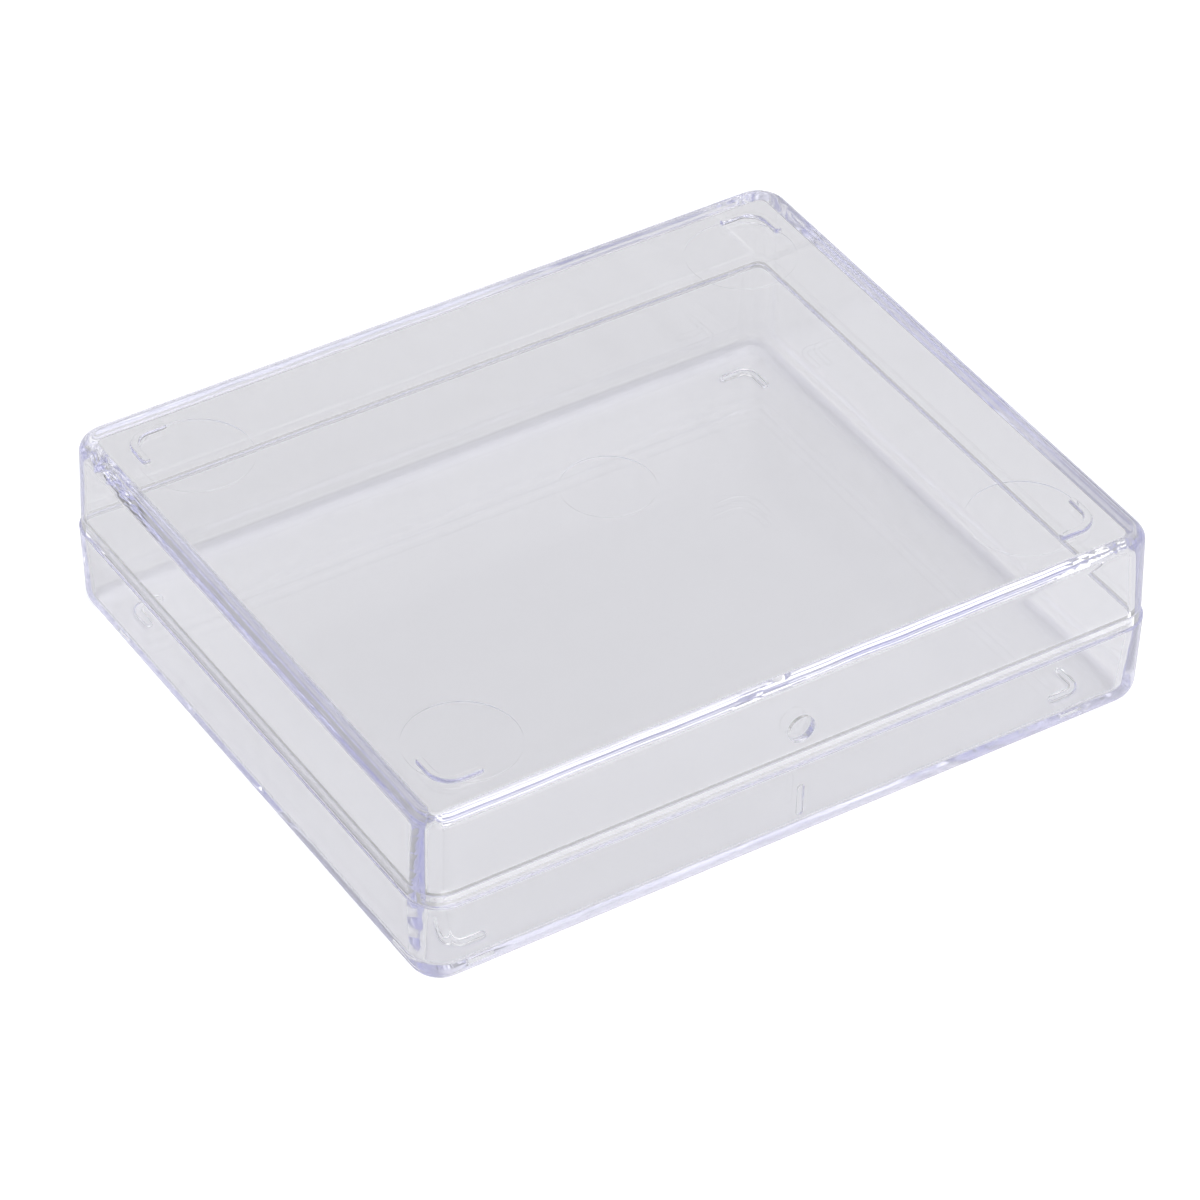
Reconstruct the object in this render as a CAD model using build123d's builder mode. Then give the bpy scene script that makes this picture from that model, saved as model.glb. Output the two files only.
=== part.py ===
from build123d import *
from math import radians, tan
import os

# Clear two-piece box: a tray with a stepped rim, and a lift-off lid whose wall is recessed to take the step.
# Millimetres, +Z up. The origin is on the surface that the box stands on, under its centre.
# X runs along the long side, and the gate marks are on the -Y side.

# Driving dimensions: overall plan and heights
box_length = 108.0
box_width = 90.5
foot_height = 0.5
tray_height = 13.5
lid_height = 13.6
rib_height = 0.5

# Driving dimensions: walls, draft and corners
tray_draft = 2.2
lid_draft = 1.0
cavity_draft = 1.9
lid_cavity_draft = 1.6
rim_corner = 4.9
rim_ledge = 0.3
rim_round = 0.25
seat_width = 1.6
step_wall = 0.85
step_height = 1.0
step_round = 0.3
seat_clearance = 0.1
recess_clearance = 0.1
seat_gap = 0.05
floor_thickness = 2.2
lid_top = 1.7
inner_corner = 1.2
step_corner = 2.3
floor_corner = 2.2

# Driving dimensions: rounded edges
tray_bottom_round = 3.2
tray_floor_round = 1.0
lid_edge_round = 1.9
lid_ceiling_round = 0.15

# Driving dimensions: stacking ribs on the lid and stacking feet under the tray
rib_width = 1.2
rib_inset = 5.6
rib_arm = 5.1
rib_elbow = 2.8
rib_round = 0.4
foot_width = 1.0
foot_arm = 4.0
foot_elbow = 1.6
foot_round = 0.35
nest_clearance = 0.25

# Driving dimensions: moulding marks
pin_mark_depth = 0.08
corner_pin_diameter = 15.0
centre_pin_diameter = 12.5
corner_pin_x = 41.2
corner_pin_y = 32.6
lid_gate_diameter = 3.8
lid_gate_depth = 1.0
lid_gate_height = 5.3
tray_gate_width = 1.0
tray_gate_length = 5.0
tray_gate_depth = 0.5
tray_gate_drop = 3.5

# Heights worked out from the driving dimensions
shoulder_z = foot_height + tray_height
step_top_z = shoulder_z + step_height
floor_z = foot_height + floor_thickness
lid_seat_z = shoulder_z + seat_gap
lid_top_z = lid_seat_z + lid_height
ceiling_z = lid_top_z - lid_top
recess_top_z = step_top_z + recess_clearance

# Plan sizes worked out from the driving dimensions
lid_corner = rim_corner - rim_ledge
seat_inset = rim_ledge + seat_width
step_inset = seat_inset + seat_clearance
cavity_inset = step_inset + step_wall
floor_inset = cavity_inset + (step_top_z - floor_z) * tan(radians(cavity_draft))
recess_corner = step_corner + seat_clearance
ceiling_inset = cavity_inset + (ceiling_z - lid_seat_z) * tan(radians(lid_cavity_draft))
foot_inset = rib_inset + rib_width + nest_clearance

# Tolerance for picking faces by their height
level_tolerance = 0.01

# Upright plane along the rim's front edge, looking at the box from the front
front_plane = Plane.XZ.offset(box_width / 2)

corner_signs = [(1, 1), (-1, 1), (-1, -1), (1, -1)]


def rounded_plan(inset, corner):
    """Rounded rectangle set in from the rim's outline."""
    RectangleRounded(box_length - 2 * inset, box_width - 2 * inset, corner)


def face_at(part, level):
    """Flat face of a part at a level."""
    return part.faces().filter_by_position(Axis.Z, level - level_tolerance, level + level_tolerance)[0]


def corner_ribs(level, inset, arm, elbow, width):
    """Four L-shaped ribs with round ends at a level, their outer edges set in from the rim's outline."""
    x_out = box_length / 2 - inset - width / 2
    y_out = box_width / 2 - inset - width / 2
    with BuildSketch(Plane.XY.offset(level)) as ribs:
        for sign_x, sign_y in corner_signs:
            with BuildLine():
                FilletPolyline(
                    (sign_x * (x_out - arm), sign_y * y_out),
                    (sign_x * x_out, sign_y * y_out),
                    (sign_x * x_out, sign_y * (y_out - arm)),
                    radius=elbow,
                )
            trace(line_width=width)
            with Locations(
                (sign_x * (x_out - arm), sign_y * y_out),
                (sign_x * x_out, sign_y * (y_out - arm)),
            ):
                Circle(width / 2)
    return ribs.sketch


# Tray: drafted wall, stepped rim, rounded floor, four stacking feet
with BuildPart() as tray:
    with BuildSketch(Plane.XY.offset(shoulder_z)):
        rounded_plan(0, rim_corner)
    extrude(amount=-tray_height, taper=tray_draft)
    fillet(tray.faces().sort_by(Axis.Z)[0].edges(), tray_bottom_round)
    fillet(tray.faces().sort_by(Axis.Z)[-1].edges(), rim_round)
    with BuildSketch(Plane.XY.offset(shoulder_z)):
        rounded_plan(step_inset, step_corner)
    extrude(amount=step_height)
    with BuildSketch(Plane.XY.offset(step_top_z)):
        rounded_plan(cavity_inset, inner_corner)
    with BuildSketch(Plane.XY.offset(floor_z)):
        rounded_plan(floor_inset, floor_corner)
    loft(ruled=True, mode=Mode.SUBTRACT)
    fillet(face_at(tray, floor_z).edges(), tray_floor_round)
    fillet(tray.faces().sort_by(Axis.Z)[-1].edges(), step_round)
    feet = corner_ribs(foot_height, foot_inset, foot_arm, foot_elbow, foot_width)
    extrude(feet, amount=-foot_height)
    fillet(tray.faces().sort_by(Axis.Z)[: len(corner_signs)].edges(), foot_round)
    with BuildSketch(front_plane):
        with Locations((0, shoulder_z - tray_gate_drop - tray_gate_length / 2)):
            SlotOverall(tray_gate_length, tray_gate_width, rotation=90)
    extrude(amount=-tray_gate_depth, mode=Mode.SUBTRACT)
tray.part.label = "tray"

# Lid: drafted cover that rests on the rim, with a recess inside its lower edge round the step
with BuildPart() as lid:
    with BuildSketch(Plane.XY.offset(lid_seat_z)):
        rounded_plan(rim_ledge, lid_corner)
    extrude(amount=lid_height, taper=lid_draft)
    fillet(lid.faces().sort_by(Axis.Z)[-1].edges(), lid_edge_round)
    with BuildSketch(Plane.XY.offset(lid_seat_z)):
        rounded_plan(cavity_inset, inner_corner)
    with BuildSketch(Plane.XY.offset(ceiling_z)):
        rounded_plan(ceiling_inset, inner_corner)
    loft(ruled=True, mode=Mode.SUBTRACT)
    fillet(face_at(lid, ceiling_z).edges(), lid_ceiling_round)
    with BuildSketch(Plane.XY.offset(lid_seat_z)):
        rounded_plan(seat_inset, recess_corner)
    extrude(amount=recess_top_z - lid_seat_z, mode=Mode.SUBTRACT)
    ribs = corner_ribs(lid_top_z, rib_inset, rib_arm, rib_elbow, rib_width)
    extrude(ribs, amount=rib_height)
    fillet(lid.faces().sort_by(Axis.Z)[-len(corner_signs) :].edges(), rib_round)
    with BuildSketch(Plane.XY.offset(ceiling_z)):
        with GridLocations(2 * corner_pin_x, 2 * corner_pin_y, 2, 2):
            Circle(corner_pin_diameter / 2)
        Circle(centre_pin_diameter / 2)
    extrude(amount=pin_mark_depth, mode=Mode.SUBTRACT)
    with BuildSketch(front_plane):
        with Locations((0, lid_seat_z + lid_gate_height)):
            Circle(lid_gate_diameter / 2)
    extrude(amount=-(rim_ledge + lid_gate_depth), mode=Mode.SUBTRACT)
lid.part.label = "lid"

os.makedirs("parts", exist_ok=True)
export_step(tray.part, "parts/tray.step")
export_step(lid.part, "parts/lid.step")
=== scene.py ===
"""Clear two-piece box of moulded crystal polystyrene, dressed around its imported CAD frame.

The tray and the lid are each one closed moulding, made from rounded rectangles that are bridged, bevelled and joined
with their ribs, feet and marks. Lengths are in metres, in the frame's own axes.
"""

from math import cos, pi, radians, sin, tan

import bmesh
import bpy
from mathutils import Matrix, Vector


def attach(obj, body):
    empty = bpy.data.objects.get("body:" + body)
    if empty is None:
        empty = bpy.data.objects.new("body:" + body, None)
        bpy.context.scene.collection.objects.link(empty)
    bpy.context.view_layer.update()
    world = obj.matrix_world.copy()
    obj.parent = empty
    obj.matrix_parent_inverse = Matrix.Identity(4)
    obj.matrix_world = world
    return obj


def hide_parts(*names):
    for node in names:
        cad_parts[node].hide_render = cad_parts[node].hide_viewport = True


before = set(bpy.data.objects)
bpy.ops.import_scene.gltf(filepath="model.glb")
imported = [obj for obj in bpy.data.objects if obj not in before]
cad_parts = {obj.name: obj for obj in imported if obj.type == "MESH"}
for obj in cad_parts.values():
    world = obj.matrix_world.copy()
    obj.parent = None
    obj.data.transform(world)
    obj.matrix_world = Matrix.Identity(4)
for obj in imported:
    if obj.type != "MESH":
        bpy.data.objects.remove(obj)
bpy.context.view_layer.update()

bl_info = {
    "name": "Clear Box",
    "version": (1, 0, 0),
    "blender": (4, 5, 0),
    "location": "View3D > Sidebar > Clear Box",
    "description": "Builds a clear moulded two-piece box with its studio",
    "category": "Object",
}

MM = 0.001
CORNER_STEPS = 16
ROUND_STEPS = 8
SMALL_ROUND_STEPS = 4
LARGE_ROUND_STEPS = 16
PIN_STEPS = 64
SMOOTH_ANGLE = radians(30)
CUT_MARGIN = 1.0 * MM
MERGE_DISTANCE = 0.001 * MM
FULL_ROUND = 0.999
STEP_FADE = 3
BOUNCES = 512
SENSOR_WIDTH_MM = 36
NEAREST_SEEN = 10 * MM
QUARTERS = ((1, 1), (-1, 1), (-1, -1), (1, -1))


def length(label, about, millimetres):
    """Length property, given in millimetres and kept in metres."""
    return bpy.props.FloatProperty(
        name=label, description=about, default=millimetres * MM, unit="LENGTH", precision=5
    )


def angle(label, about, degrees):
    """Angle property, given in degrees."""
    return bpy.props.FloatProperty(name=label, description=about, default=radians(degrees), subtype="ANGLE")


def number(label, about, value):
    """Plain number property."""
    return bpy.props.FloatProperty(name=label, description=about, default=value)


def linear(hex_colour):
    """Turns an sRGB hex colour into linear red, green and blue."""
    channels = [int(hex_colour[i : i + 2], 16) / 255 for i in (0, 2, 4)]
    return [c / 12.92 if c <= 0.04045 else ((c + 0.055) / 1.055) ** 2.4 for c in channels]


def colour(label, about, hex_colour):
    """Colour property, given as sRGB hex."""
    return bpy.props.FloatVectorProperty(
        name=label, description=about, default=linear(hex_colour), subtype="COLOR", size=3, min=0, max=1
    )


class CLEARBOX_PG_walls(bpy.types.PropertyGroup):
    """Plan, heights and wall sizes, the same as the CAD part's."""

    box_length: length("Length", "Length of the tray's rim", 108.0)
    box_width: length("Width", "Width of the tray's rim", 90.5)
    foot_height: length("Foot height", "Height of the stacking feet under the tray", 0.5)
    tray_height: length("Tray height", "Height from the tray's underside to its shoulder", 13.5)
    lid_height: length("Lid height", "Height of the lid without its ribs", 13.6)
    floor_thickness: length("Floor thickness", "Thickness of the tray's floor", 2.2)
    lid_top: length("Top thickness", "Thickness of the lid's top", 1.7)
    rim_ledge: length("Rim ledge", "How far the rim stands proud of the lid", 0.3)
    seat_width: length("Seat width", "Width of the shoulder that the lid rests on", 1.6)
    seat_clearance: length("Seat clearance", "Play between the step and the lid's recess", 0.1)
    recess_clearance: length("Recess clearance", "Play over the step's top", 0.1)
    seat_gap: length("Seat gap", "Uneven contact of lid and shoulder", 0.05)
    step_wall: length("Step thickness", "Thickness of the locating step", 0.85)
    step_height: length("Step height", "Height of the locating step", 1.0)
    tray_draft: angle("Tray draft", "Draft of the tray's outside", 2.2)
    lid_draft: angle("Lid draft", "Draft of the lid's outside", 1.0)
    cavity_draft: angle("Cavity draft", "Draft of the tray's inside", 1.9)
    lid_cavity_draft: angle("Lid cavity draft", "Draft of the lid's inside", 1.6)


class CLEARBOX_PG_rounds(bpy.types.PropertyGroup):
    """Corner and edge rounds of the two mouldings."""

    rim_corner: length("Rim corner", "Corner radius of the tray's rim", 4.9)
    inner_corner: length("Inner corner", "Corner radius of the inner walls", 1.2)
    step_corner: length("Step corner", "Corner radius of the locating step's outside", 2.3)
    floor_corner: length("Floor corner", "Corner radius of the inner walls at the floor", 2.2)
    bottom_round: length("Bottom round", "Round of the tray's bottom edge", 3.2)
    floor_round: length("Floor round", "Round where the inner walls meet the floor", 1.0)
    rim_round: length("Rim round", "Round of the rim's edge", 0.25)
    step_round: length("Step round", "Round of the step's top", 0.3)
    top_round: length("Top round", "Round of the lid's top edge", 1.9)
    ceiling_round: length("Ceiling round", "Round inside the lid's top", 0.15)


class CLEARBOX_PG_marks(bpy.types.PropertyGroup):
    """Stacking ribs and feet, and the marks that moulding leaves."""

    rib_height: length("Rib height", "Height of the lid's stacking ribs", 0.5)
    rib_width: length("Rib width", "Width of the lid's stacking ribs", 1.2)
    rib_inset: length("Rib inset", "Ribs' distance in from the rim's outline", 5.6)
    rib_arm: length("Rib arm", "Length of a rib's arm from its corner", 5.1)
    rib_elbow: length("Rib elbow", "Bend radius of a rib's centre line", 2.8)
    rib_round: length("Rib round", "Round of a rib's top", 0.4)
    foot_width: length("Foot width", "Width of the stacking feet", 1.0)
    foot_arm: length("Foot arm", "Length of a foot's arm from its corner", 4.0)
    foot_elbow: length("Foot elbow", "Bend radius of a foot's centre line", 1.6)
    foot_round: length("Foot round", "Round of a foot's underside", 0.35)
    nest_clearance: length("Nest clearance", "Play between feet and ribs of stacked boxes", 0.25)
    pin_depth: length("Pin mark depth", "Depth of the ejector-pin marks inside the lid", 0.08)
    pin_size: length("Corner pin mark", "Diameter of the four outer pin marks", 15.0)
    middle_pin_size: length("Middle pin mark", "Diameter of the middle pin mark", 12.5)
    pin_x: length("Pin mark X", "Outer pin marks' distance from the middle along X", 41.2)
    pin_y: length("Pin mark Y", "Outer pin marks' distance from the middle along Y", 32.6)
    lid_gate_size: length("Lid gate", "Diameter of the lid's round gate recess", 3.8)
    lid_gate_depth: length("Lid gate depth", "Depth of the lid's gate recess", 1.0)
    lid_gate_height: length("Lid gate height", "Height of the gate recess over the lid's edge", 5.3)
    tray_gate_width: length("Tray gate width", "Width of the tray's gate slot", 1.0)
    tray_gate_length: length("Tray gate length", "Length of the tray's gate slot", 5.0)
    tray_gate_depth: length("Tray gate depth", "Depth of the tray's gate slot", 0.5)
    tray_gate_drop: length("Tray gate drop", "Distance of the gate slot below the shoulder", 3.5)


class CLEARBOX_PG_plastic(bpy.types.PropertyGroup):
    """Finish of the clear polystyrene."""

    tint: colour("Edge tint", "Colour that long paths inside the plastic take on", "C4C4F9")
    tint_density: number("Tint density", "How fast the tint builds up, per metre", 2.2)
    index: number("Refractive index", "Refractive index of crystal polystyrene", 1.59)
    ripple_size: length("Ripple size", "Spacing of the slow ripples of a moulded surface", 8.0)
    wall_ripple: length("Wall ripple", "Height of the ripples on the drafted walls", 0.045)
    wall_lean: angle("Wall lean", "Greatest lean of a wall that ripples fully", 4)
    flat_ripple: length("Flat ripple", "Height of the ripples on the top, the floor and the rounds", 0.004)


class CLEARBOX_PG_studio(bpy.types.PropertyGroup):
    """White floor, soft surroundings, one softbox and the camera at the viewing angle of the photograph."""

    azimuth: angle("Azimuth", "Camera's turn from the front, towards +X", -32.456)
    elevation: angle("Elevation", "Camera's height angle", 39.469)
    roll: angle("Roll", "Camera's roll", 0.682)
    distance: length("Distance", "Camera's distance from its aim", 786.836)
    aim_across: length("Aim across", "Camera's shift to its right", -0.916)
    aim_up: length("Aim up", "Camera's shift along its own up", -4.362)
    aim_height: length("Aim height", "Height of the aim over the floor", 14.0)
    focal_length: number("Focal length", "Focal length in millimetres on a 36 mm sensor", 184.92)
    floor_size: length("Floor size", "Side of the white floor", 4000.0)
    floor_drop: length("Floor drop", "Uneven contact of the box and the floor", 0.04)
    floor_colour: colour("Floor", "Matt white of the floor", "ECECEF")
    floor_fill: number("Floor fill", "Brightness added to the floor where the camera sees it bare", 0.45)
    low_sky: colour("Low surroundings", "Colour of the surroundings near the floor", "A1A1A2")
    middle_sky: colour("Middle surroundings", "Colour of the surroundings at the camera's height", "C4C4C6")
    high_sky: colour("High surroundings", "Colour of the surroundings overhead", "7C7C7D")
    middle_height: number("Middle height", "Where the middle surroundings are, from 0 at the floor to 1 overhead", 0.6)
    high_height: number("High height", "Where the overhead surroundings begin", 0.85)
    lamp_azimuth: angle("Lamp azimuth", "Softbox's turn from the front, towards +X", 25)
    lamp_elevation: angle("Lamp elevation", "Softbox's height angle", 70)
    lamp_distance: length("Lamp distance", "Softbox's distance from the box", 900.0)
    lamp_size: length("Lamp size", "Side of the square softbox", 1400.0)
    lamp_brightness: number("Lamp brightness", "Softbox's radiance, where white paper is 1", 1.36)
    lamp_colour: colour("Lamp colour", "Cool white of the softbox", "FEFEFF")


def round_corners(bm, verts, radius, steps=ROUND_STEPS):
    """Rounds corners of a lone face and gives back the face."""
    made = bmesh.ops.bevel(
        bm,
        geom=verts,
        offset=radius,
        offset_type="OFFSET",
        segments=steps,
        profile=0.5,
        affect="VERTICES",
        material=-1,
    )
    return made["verts"][0].link_faces[0]


def rounded_face(bm, size_x, size_y, corner, level):
    """Rounded rectangle at a level, as one face."""
    place = Matrix.Translation((0, 0, level)) @ Matrix.Diagonal((size_x, size_y, 1, 1))
    verts = bmesh.ops.create_grid(bm, x_segments=1, y_segments=1, size=0.5, matrix=place)["verts"]
    return round_corners(bm, verts, corner, CORNER_STEPS)


def stacked_shell(bm, rings):
    """Closed surface through rounded rectangles, each given as size in X, size in Y, corner and level.

    One square with round corners of unit radius is extruded once for each rectangle. Each quarter of each copy is then
    scaled and moved to its own corner, so the rows of vertices stay in line.
    """
    face = rounded_face(bm, 4, 4, 1, 0)
    faces = [face]
    rows, loops = [list(face.verts)], [list(face.edges)]
    for _ in rings[1:]:
        new = bmesh.ops.extrude_face_region(bm, geom=[faces[-1]], use_keep_orig=True)["geom"]
        faces.append(next(part for part in new if isinstance(part, bmesh.types.BMFace)))
        rows.append(list(faces[-1].verts))
        loops.append(list(faces[-1].edges))
    bmesh.ops.delete(bm, geom=faces[1:-1], context="FACES_ONLY")
    for row, (size_x, size_y, corner, level) in zip(rows, rings):
        for sign_x, sign_y in QUARTERS:
            quarter = [v for v in row if v.co.x * sign_x > 0 and v.co.y * sign_y > 0]
            centre = Vector((sign_x * (size_x / 2 - corner), sign_y * (size_y / 2 - corner), level))
            place = (
                Matrix.Translation(centre)
                @ Matrix.Diagonal((corner, corner, 1, 1))
                @ Matrix.Translation((-sign_x, -sign_y, 0))
            )
            bmesh.ops.transform(bm, matrix=place, verts=quarter)
    return loops


def round_edges(bm, edges, radius, steps=ROUND_STEPS):
    """Rounds edges with a circular bevel."""
    bmesh.ops.bevel(
        bm,
        geom=edges,
        offset=radius,
        offset_type="OFFSET",
        segments=steps,
        profile=0.5,
        affect="EDGES",
        material=-1,
        clamp_overlap=False,
        loop_slide=True,
    )


def moved(bm, edges, vec):
    """Extrudes a row of edges sideways and gives back the new row."""
    new = bmesh.ops.extrude_edge_only(bm, edges=edges)["geom"]
    bmesh.ops.translate(bm, verts=[v for v in new if isinstance(v, bmesh.types.BMVert)], vec=vec)
    return [edge for edge in new if isinstance(edge, bmesh.types.BMEdge)]


def raised(bm, faces, height):
    """Extrudes faces upwards and gives back the new faces."""
    new = bmesh.ops.extrude_face_region(bm, geom=faces, use_keep_orig=True)["geom"]
    bmesh.ops.translate(bm, verts=[v for v in new if isinstance(v, bmesh.types.BMVert)], vec=(0, 0, height))
    return [face for face in new if isinstance(face, bmesh.types.BMFace)]


def corner_bars(bm, corner, arm, elbow, width, low, high, radius, round_top):
    """Four L-shaped bars with round ends, one near each corner of the box, between two levels.

    A cross line in three points is spun round the elbow, drawn out into the arms, and spun half round at each end.
    """
    middle = Vector((corner.x - elbow, corner.y - elbow, low))
    row = [bm.verts.new(middle + Vector((elbow + side * width / 2, 0, 0))) for side in (-1, 0, 1)]
    start = [bm.edges.new(pair) for pair in zip(row, row[1:])]
    turned = bmesh.ops.spin(
        bm, geom=row + start, cent=middle, axis=(0, 0, 1), angle=radians(90), steps=ROUND_STEPS
    )["geom_last"]
    stop = [edge for edge in turned if isinstance(edge, bmesh.types.BMEdge)]
    first = moved(bm, start, (0, elbow - arm, 0))
    second = moved(bm, stop, (elbow - arm, 0, 0))
    ends = (
        (first, Vector((corner.x, corner.y - arm, low)), -1),
        (second, Vector((corner.x - arm, corner.y, low)), 1),
    )
    for edges, centre, way in ends:
        outer = max(edges, key=lambda edge: sum(v.co.x + v.co.y for v in edge.verts))
        bmesh.ops.spin(
            bm,
            geom=[outer, *outer.verts],
            cent=centre,
            axis=(0, 0, way),
            angle=radians(180),
            steps=ROUND_STEPS,
        )
    bmesh.ops.remove_doubles(bm, verts=bm.verts, dist=MERGE_DISTANCE)
    base = list(bm.faces)
    top = raised(bm, base, high - low)
    level = high if round_top else low
    kept = set(top if round_top else base)
    outline = [
        edge
        for edge in bm.edges
        if all(abs(v.co.z - level) < MERGE_DISTANCE for v in edge.verts)
        and sum(face in kept for face in edge.link_faces) == 1
    ]
    round_edges(bm, outline, radius, SMALL_ROUND_STEPS)
    for flip in ((-1, 1, 1), (1, -1, 1)):
        new = bmesh.ops.duplicate(bm, geom=[*bm.verts, *bm.edges, *bm.faces])["geom"]
        bmesh.ops.scale(bm, verts=[v for v in new if isinstance(v, bmesh.types.BMVert)], vec=flip)
    bmesh.ops.recalc_face_normals(bm, faces=bm.faces)


def new_object(name, bm):
    """Turns a bmesh into an object in the scene."""
    mesh = bpy.data.meshes.new(name)
    bm.to_mesh(mesh)
    bm.free()
    made = bpy.data.objects.new(name, mesh)
    bpy.context.scene.collection.objects.link(made)
    return made


def joined(piece, tools):
    """Adds or cuts closed tools from a piece, in order, and removes them."""
    for tool, operation in tools:
        join = piece.modifiers.new(tool.name, "BOOLEAN")
        join.operation = operation
        join.solver = "EXACT"
        join.object = tool
    shaped = bpy.data.meshes.new_from_object(piece.evaluated_get(bpy.context.evaluated_depsgraph_get()))
    piece.modifiers.clear()
    piece.data = shaped
    for tool, _ in tools:
        bpy.data.objects.remove(tool)
    if not shaped.polygons:
        raise RuntimeError(f"{piece.name} lost its faces")


def finish_moulding(piece, body, node):
    """Smooths a moulding, gives it its plastic and ties it to the frame."""
    piece.data.shade_smooth()
    piece.data.set_sharp_from_angle(angle=SMOOTH_ANGLE)
    flats = piece.modifiers.new("flats", "WEIGHTED_NORMAL")
    flats.keep_sharp = True
    piece.data.materials.clear()
    piece.data.materials.append(clear_styrene())
    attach(piece, body)
    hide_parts(node)


def add_node(tree, kind, settings=None, inputs=None):
    """Adds a node, sets its properties and sets or links its inputs."""
    made = tree.nodes.new(kind)
    for name, value in (settings or {}).items():
        setattr(made, name, value)
    for name, value in (inputs or {}).items():
        if isinstance(value, bpy.types.NodeSocket):
            tree.links.new(value, made.inputs[name])
        else:
            made.inputs[name].default_value = value
    return made


def new_material(name):
    """Empty node material."""
    made = bpy.data.materials.new(name)
    made.use_nodes = True
    made.node_tree.nodes.clear()
    return made


def clear_styrene():
    """Crystal polystyrene, injection moulded in polished steel.

    It is water clear and glossy, and bends light more than acrylic does. Long paths along its walls turn lavender
    from the blueing dye, and slow ripples from the cooling of the moulding make the refracted edges waver.
    """
    name = "moulded crystal polystyrene"
    if name in bpy.data.materials:
        return bpy.data.materials[name]
    look = bpy.context.scene.clearbox_plastic
    walls = bpy.context.scene.clearbox_walls
    made = new_material(name)
    tree = made.node_tree
    way = add_node(tree, "ShaderNodeTexCoord")
    ripple = add_node(
        tree,
        "ShaderNodeTexNoise",
        {"noise_dimensions": "3D"},
        {"Vector": way.outputs["Object"], "Scale": 1 / look.ripple_size, "Detail": 1.0, "Roughness": 0.4},
    )
    # The broad flats cool evenly and stay flat, and the walls shrink off the mould and waver, but for the fitted step
    upright = add_node(tree, "ShaderNodeSeparateXYZ", None, {0: way.outputs["Normal"]})
    place = add_node(tree, "ShaderNodeSeparateXYZ", None, {0: way.outputs["Object"]})
    reach = add_node(
        tree,
        "ShaderNodeMath",
        {"operation": "SUBTRACT"},
        {0: place.outputs["Z"], 1: walls.foot_height + walls.tray_height},
    )
    reach = add_node(tree, "ShaderNodeMath", {"operation": "ABSOLUTE"}, {0: reach.outputs[0]})
    wall_height = add_node(
        tree,
        "ShaderNodeMapRange",
        {"interpolation_type": "SMOOTHSTEP"},
        {
            "Value": reach.outputs[0],
            "From Min": walls.step_height + walls.recess_clearance,
            "From Max": STEP_FADE * walls.step_height,
            "To Min": look.flat_ripple,
            "To Max": look.wall_ripple,
        },
    )
    level = add_node(tree, "ShaderNodeMath", {"operation": "ABSOLUTE"}, {0: upright.outputs["Z"]})
    height = add_node(
        tree,
        "ShaderNodeMapRange",
        None,
        {
            "Value": level.outputs[0],
            "From Min": sin(look.wall_lean),
            "From Max": sin(2 * look.wall_lean),
            "To Min": wall_height.outputs["Result"],
            "To Max": look.flat_ripple,
        },
    )
    bump = add_node(
        tree,
        "ShaderNodeBump",
        None,
        {"Strength": 1.0, "Distance": height.outputs["Result"], "Height": ripple.outputs["Fac"]},
    )
    plastic = add_node(
        tree,
        "ShaderNodeBsdfPrincipled",
        None,
        {
            "Base Color": (1, 1, 1, 1),
            "Roughness": 0.0,
            "IOR": look.index,
            "Transmission Weight": 1.0,
            "Normal": bump.outputs["Normal"],
        },
    )
    inside = add_node(
        tree,
        "ShaderNodeVolumeAbsorption",
        None,
        {"Color": (*look.tint, 1), "Density": look.tint_density},
    )
    add_node(
        tree,
        "ShaderNodeOutputMaterial",
        None,
        {"Surface": plastic.outputs["BSDF"], "Volume": inside.outputs["Volume"]},
    )
    return made


def box_levels(walls):
    """Levels and insets that both mouldings share."""
    shoulder = walls.foot_height + walls.tray_height
    seat = shoulder + walls.seat_gap
    step_inset = walls.rim_ledge + walls.seat_width + walls.seat_clearance
    return {
        "shoulder": shoulder,
        "step_top": shoulder + walls.step_height,
        "floor": walls.foot_height + walls.floor_thickness,
        "seat": seat,
        "top": seat + walls.lid_height,
        "ceiling": seat + walls.lid_height - walls.lid_top,
        "recess_inset": walls.rim_ledge + walls.seat_width,
        "step_inset": step_inset,
        "cavity_inset": step_inset + walls.step_wall,
    }


def ring(walls, inset, corner, level):
    """Rounded rectangle set in from the rim's outline."""
    return (walls.box_length - 2 * inset, walls.box_width - 2 * inset, corner, level)


def upright_cutter(name, size_x, size_z, depth, height, front):
    """Slot or round recess in the front wall, from outside it to its depth."""
    bm = bmesh.new()
    face = rounded_face(bm, size_x, size_z, min(size_x, size_z) / 2 * FULL_ROUND, 0)
    raised(bm, [face], CUT_MARGIN + depth)
    bmesh.ops.rotate(bm, verts=bm.verts, cent=(0, 0, 0), matrix=Matrix.Rotation(radians(90), 3, "X"))
    bmesh.ops.translate(bm, verts=bm.verts, vec=(0, front + depth, height))
    bmesh.ops.recalc_face_normals(bm, faces=bm.faces)
    return new_object(name, bm)


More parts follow.
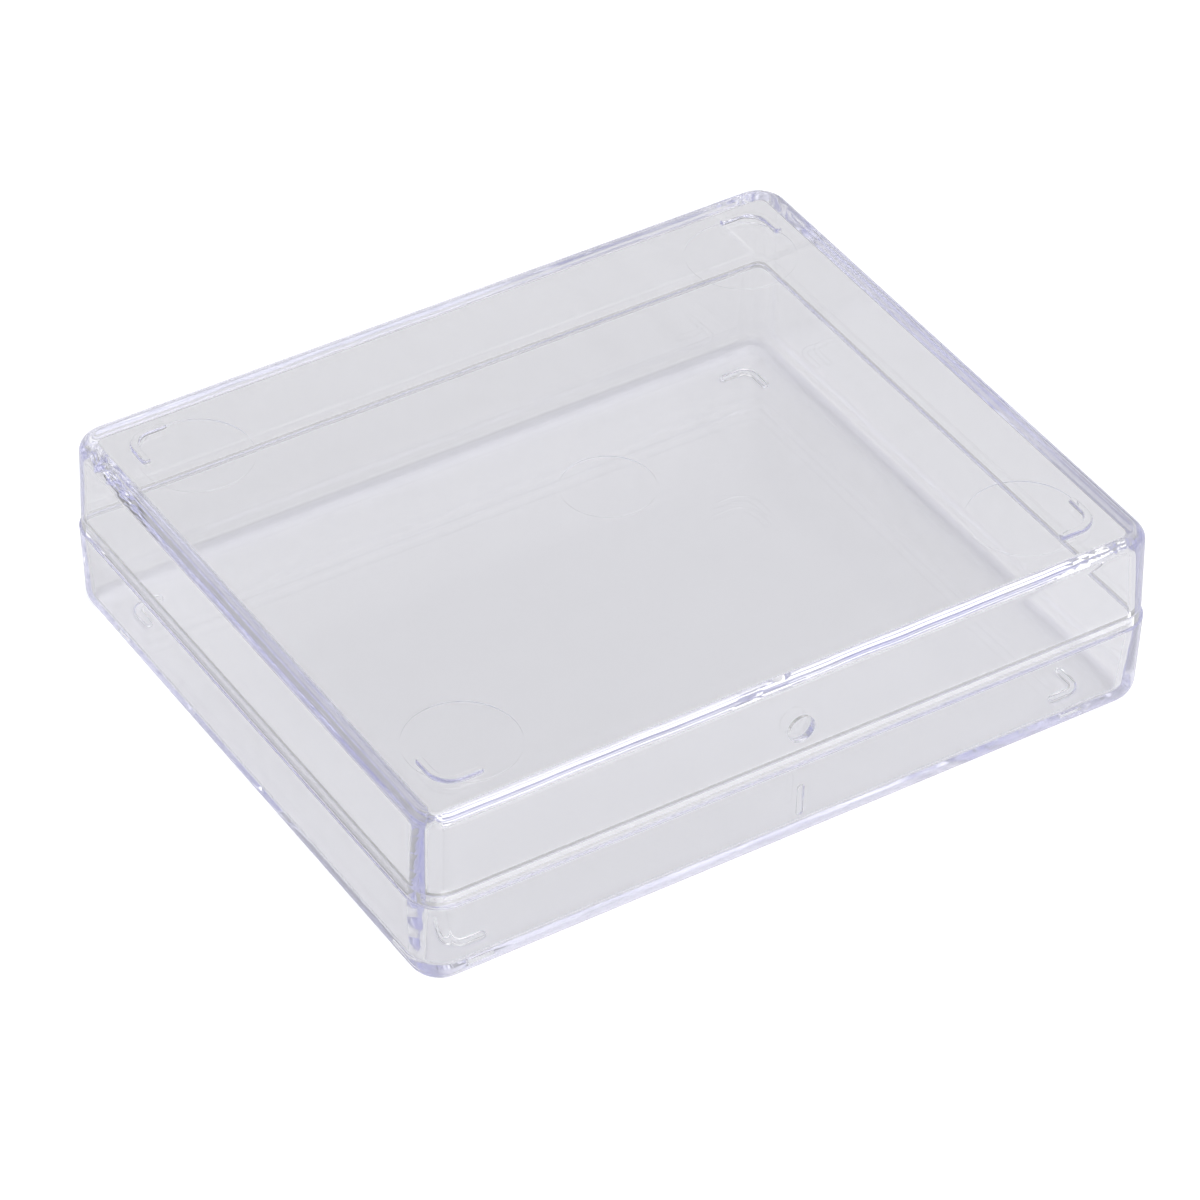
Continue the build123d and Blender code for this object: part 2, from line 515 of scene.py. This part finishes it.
class CLEARBOX_OT_tray(bpy.types.Operator):
    """Build the tray with its stepped rim, rounded floor, stacking feet and gate slot"""

    bl_idname = "clearbox.tray"
    bl_label = "Build Tray"

    def execute(self, context):
        walls, rounds, marks = (
            context.scene.clearbox_walls,
            context.scene.clearbox_rounds,
            context.scene.clearbox_marks,
        )
        at = box_levels(walls)
        underside_inset = walls.tray_height * tan(walls.tray_draft)
        floor_inset = at["cavity_inset"] + (at["step_top"] - at["floor"]) * tan(walls.cavity_draft)
        bm = bmesh.new()
        loops = stacked_shell(
            bm,
            (
                ring(walls, underside_inset, rounds.rim_corner - underside_inset, walls.foot_height),
                ring(walls, 0, rounds.rim_corner, at["shoulder"]),
                ring(walls, at["step_inset"], rounds.step_corner, at["shoulder"]),
                ring(walls, at["step_inset"], rounds.step_corner, at["step_top"]),
                ring(walls, at["cavity_inset"], rounds.inner_corner, at["step_top"]),
                ring(walls, floor_inset, rounds.floor_corner, at["floor"]),
            ),
        )
        underside, rim, _, step_outside, step_inside, floor = loops
        round_edges(bm, underside, rounds.bottom_round, LARGE_ROUND_STEPS)
        round_edges(bm, floor, rounds.floor_round)
        round_edges(bm, rim, rounds.rim_round, SMALL_ROUND_STEPS)
        round_edges(bm, step_outside + step_inside, rounds.step_round, SMALL_ROUND_STEPS)
        bmesh.ops.recalc_face_normals(bm, faces=bm.faces)
        tray = new_object("tray_moulding", bm)

        feet = bmesh.new()
        inset = marks.rib_inset + marks.rib_width + marks.nest_clearance + marks.foot_width / 2
        corner_bars(
            feet,
            Vector((walls.box_length / 2 - inset, walls.box_width / 2 - inset)),
            marks.foot_arm,
            marks.foot_elbow,
            marks.foot_width,
            0,
            walls.foot_height + CUT_MARGIN,
            marks.foot_round,
            False,
        )
        gate = upright_cutter(
            "gate",
            marks.tray_gate_width,
            marks.tray_gate_length,
            marks.tray_gate_depth,
            at["shoulder"] - marks.tray_gate_drop - marks.tray_gate_length / 2,
            -walls.box_width / 2,
        )
        joined(tray, ((new_object("feet", feet), "UNION"), (gate, "DIFFERENCE")))
        finish_moulding(tray, "tray", "tray")
        return {"FINISHED"}


class CLEARBOX_OT_lid(bpy.types.Operator):
    """Build the lid with its recess, stacking ribs, pin marks and gate recess"""

    bl_idname = "clearbox.lid"
    bl_label = "Build Lid"

    def execute(self, context):
        walls, rounds, marks = (
            context.scene.clearbox_walls,
            context.scene.clearbox_rounds,
            context.scene.clearbox_marks,
        )
        at = box_levels(walls)
        corner = rounds.rim_corner - walls.rim_ledge
        top_draw = walls.lid_height * tan(walls.lid_draft)
        recess_corner = rounds.step_corner + walls.seat_clearance
        recess_top = at["step_top"] + walls.recess_clearance
        cavity_draw = tan(walls.lid_cavity_draft)
        low_draw = (recess_top - at["seat"]) * cavity_draw
        high_draw = (at["ceiling"] - at["seat"]) * cavity_draw
        bm = bmesh.new()
        loops = stacked_shell(
            bm,
            (
                ring(walls, at["cavity_inset"] + high_draw, rounds.inner_corner, at["ceiling"]),
                ring(walls, at["cavity_inset"] + low_draw, rounds.inner_corner, recess_top),
                ring(walls, at["recess_inset"], recess_corner, recess_top),
                ring(walls, at["recess_inset"], recess_corner, at["seat"]),
                ring(walls, walls.rim_ledge, corner, at["seat"]),
                ring(walls, walls.rim_ledge + top_draw, corner - top_draw, at["top"]),
            ),
        )
        round_edges(bm, loops[0], rounds.ceiling_round, SMALL_ROUND_STEPS)
        round_edges(bm, loops[5], rounds.top_round, LARGE_ROUND_STEPS)
        bmesh.ops.recalc_face_normals(bm, faces=bm.faces)
        lid = new_object("lid_moulding", bm)

        ribs = bmesh.new()
        inset = marks.rib_inset + marks.rib_width / 2
        corner_bars(
            ribs,
            Vector((walls.box_length / 2 - inset, walls.box_width / 2 - inset)),
            marks.rib_arm,
            marks.rib_elbow,
            marks.rib_width,
            at["top"] - CUT_MARGIN / 2,
            at["top"] + marks.rib_height,
            marks.rib_round,
            True,
        )
        pins = bmesh.new()
        corners = [(x * marks.pin_x, y * marks.pin_y, marks.pin_size) for x in (-1, 1) for y in (-1, 1)]
        for x, y, size in [*corners, (0, 0, marks.middle_pin_size)]:
            bmesh.ops.create_cone(
                pins,
                cap_ends=True,
                segments=PIN_STEPS,
                radius1=size / 2,
                radius2=size / 2,
                depth=2 * marks.pin_depth,
                matrix=Matrix.Translation((x, y, at["ceiling"])),
            )
        gate = upright_cutter(
            "gate",
            marks.lid_gate_size,
            marks.lid_gate_size,
            walls.rim_ledge + marks.lid_gate_depth,
            at["seat"] + marks.lid_gate_height,
            -walls.box_width / 2,
        )
        joined(
            lid,
            (
                (new_object("ribs", ribs), "UNION"),
                (new_object("pins", pins), "DIFFERENCE"),
                (gate, "DIFFERENCE"),
            ),
        )
        finish_moulding(lid, "lid", "lid")
        return {"FINISHED"}


def camera_place(studio):
    """Camera's place, turned about its aim by azimuth, elevation and roll."""
    back = Vector(
        (
            sin(studio.azimuth) * cos(studio.elevation),
            -cos(studio.azimuth) * cos(studio.elevation),
            sin(studio.elevation),
        )
    )
    level_right = Vector((0, 0, 1)).cross(back).normalized()
    level_up = back.cross(level_right)
    right = level_right * cos(studio.roll) + level_up * sin(studio.roll)
    up = level_up * cos(studio.roll) - level_right * sin(studio.roll)
    eye = back * studio.distance + right * studio.aim_across + up * studio.aim_up
    eye.z += studio.aim_height
    turned = Matrix((right, up, back)).transposed().to_4x4()
    return Matrix.Translation(eye) @ turned


class CLEARBOX_OT_stage(bpy.types.Operator):
    """Set up the white floor, the soft surroundings, the softbox and the camera"""

    bl_idname = "clearbox.stage"
    bl_label = "Build Stage"

    def execute(self, context):
        scene = context.scene
        studio = scene.clearbox_studio

        bm = bmesh.new()
        bmesh.ops.create_grid(
            bm,
            x_segments=1,
            y_segments=1,
            size=studio.floor_size / 2,
            matrix=Matrix.Translation((0, 0, -studio.floor_drop)),
        )
        floor = new_object("floor", bm)
        paper = new_material("matt white paper")
        tree = paper.node_tree
        # Seen bare, the paper is lifted to full white, and through the plastic it keeps the light that falls on it
        rays = add_node(tree, "ShaderNodeLightPath")
        lift = add_node(
            tree,
            "ShaderNodeMath",
            {"operation": "MULTIPLY"},
            {0: rays.outputs["Is Camera Ray"], 1: studio.floor_fill},
        )
        matt = add_node(tree, "ShaderNodeBsdfDiffuse", None, {"Color": (*studio.floor_colour, 1)})
        glow = add_node(
            tree, "ShaderNodeEmission", None, {"Color": (1, 1, 1, 1), "Strength": lift.outputs[0]}
        )
        both = add_node(tree, "ShaderNodeAddShader", None, {0: matt.outputs[0], 1: glow.outputs[0]})
        add_node(tree, "ShaderNodeOutputMaterial", None, {"Surface": both.outputs[0]})
        floor.data.materials.append(paper)

        world = bpy.data.worlds.new("soft tent")
        world.use_nodes = True
        tree = world.node_tree
        tree.nodes.clear()
        way = add_node(tree, "ShaderNodeTexCoord")
        split = add_node(tree, "ShaderNodeSeparateXYZ", None, {0: way.outputs["Generated"]})
        ramp = add_node(tree, "ShaderNodeValToRGB", None, {0: split.outputs["Z"]})
        stops = ramp.color_ramp.elements
        stops[0].color = (*studio.low_sky, 1)
        stops[1].position = studio.high_height
        stops[1].color = (*studio.high_sky, 1)
        stops.new(studio.middle_height).color = (*studio.middle_sky, 1)
        light = add_node(tree, "ShaderNodeBackground", None, {0: ramp.outputs[0], "Strength": 1.0})
        add_node(tree, "ShaderNodeOutputWorld", None, {"Surface": light.outputs[0]})
        scene.world = world

        softbox = bpy.data.lights.new("softbox", "AREA")
        softbox.shape = "SQUARE"
        softbox.size = studio.lamp_size
        softbox.color = studio.lamp_colour
        softbox.energy = studio.lamp_brightness * pi * studio.lamp_size**2
        lamp = bpy.data.objects.new("softbox", softbox)
        lamp.matrix_world = (
            Matrix.Rotation(studio.lamp_azimuth, 4, "Z")
            @ Matrix.Rotation(radians(90) - studio.lamp_elevation, 4, "X")
            @ Matrix.Translation((0, 0, studio.lamp_distance))
        )
        scene.collection.objects.link(lamp)

        lens = bpy.data.cameras.new("camera")
        lens.sensor_width = SENSOR_WIDTH_MM
        lens.lens = studio.focal_length
        lens.clip_start = NEAREST_SEEN
        camera = bpy.data.objects.new("camera", lens)
        camera.matrix_world = camera_place(studio)
        scene.collection.objects.link(camera)
        scene.camera = camera

        scene.view_settings.view_transform = "Standard"
        # Light zigzags along the clear walls many times before it leaves them
        scene.cycles.max_bounces = BOUNCES
        scene.cycles.glossy_bounces = BOUNCES
        scene.cycles.transmission_bounces = BOUNCES
        # The softbox lights the floor through the plastic, so its light is neither blurred nor cut off
        scene.cycles.blur_glossy = 0
        scene.cycles.sample_clamp_indirect = 0
        return {"FINISHED"}


class CLEARBOX_PT_panel(bpy.types.Panel):
    """Lists the box's sizes, its finish and the operators that build it"""

    bl_idname = "CLEARBOX_PT_panel"
    bl_label = "Clear Box"
    bl_space_type = "VIEW_3D"
    bl_region_type = "UI"
    bl_category = "Clear Box"

    def draw(self, context):
        for operator in (CLEARBOX_OT_tray, CLEARBOX_OT_lid, CLEARBOX_OT_stage):
            self.layout.operator(operator.bl_idname)
        for name in GROUPS:
            group = getattr(context.scene, name)
            box = self.layout.box()
            for key in group.__annotations__:
                box.prop(group, key)


GROUPS = {
    "clearbox_walls": CLEARBOX_PG_walls,
    "clearbox_rounds": CLEARBOX_PG_rounds,
    "clearbox_marks": CLEARBOX_PG_marks,
    "clearbox_plastic": CLEARBOX_PG_plastic,
    "clearbox_studio": CLEARBOX_PG_studio,
}
CLASSES = (*GROUPS.values(), CLEARBOX_OT_tray, CLEARBOX_OT_lid, CLEARBOX_OT_stage, CLEARBOX_PT_panel)


def register():
    for cls in CLASSES:
        bpy.utils.register_class(cls)
    for name, group in GROUPS.items():
        setattr(bpy.types.Scene, name, bpy.props.PointerProperty(type=group))


def unregister():
    for name in GROUPS:
        delattr(bpy.types.Scene, name)
    for cls in reversed(CLASSES):
        bpy.utils.unregister_class(cls)


def main():
    register()
    bpy.ops.clearbox.tray()
    bpy.ops.clearbox.lid()
    bpy.ops.clearbox.stage()
    bpy.context.view_layer.update()


if __name__ == "__main__":
    main()
